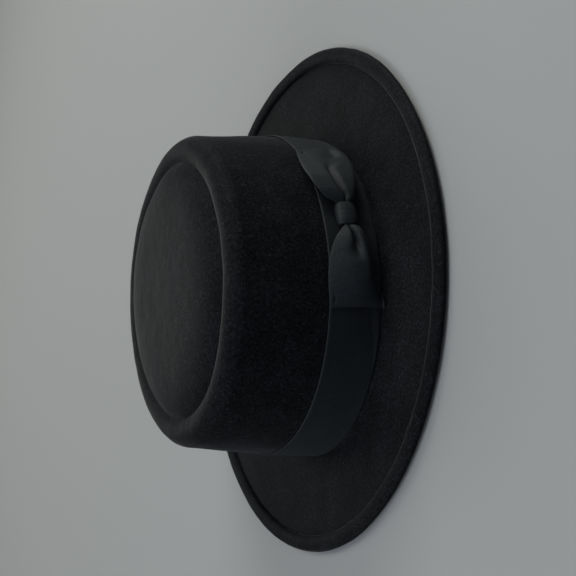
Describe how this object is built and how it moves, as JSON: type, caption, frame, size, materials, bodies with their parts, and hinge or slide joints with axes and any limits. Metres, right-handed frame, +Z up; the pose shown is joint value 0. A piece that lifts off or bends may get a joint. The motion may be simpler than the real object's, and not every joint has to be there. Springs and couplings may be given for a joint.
{
  "type": "pork pie hat",
  "caption": "Wool-felt pork pie hat: a low oval crown with a raised flat top inside a soft rim, a flat brim with a rolled edge, and a ribbon band with a flat bow at the side.",
  "frame": {"origin": "on the surface that the brim rests on, under the middle of the brim", "axes": "+Z up, -Y towards the wearer's front, +X towards the wearer's left, where the bow is"},
  "size_m": [0.2934, 0.3024, 0.0948],
  "materials": {
    "black_wool_felt": "matt, brushed wool felt",
    "black_grosgrain": "ribbed, soft sheen"
  },
  "bodies": {
    "root": {"felt_body": "black_wool_felt", "ribbon_band": "black_grosgrain", "bow_strip": "black_grosgrain", "bow_knot": "black_grosgrain"}
  },
  "joints": []
}
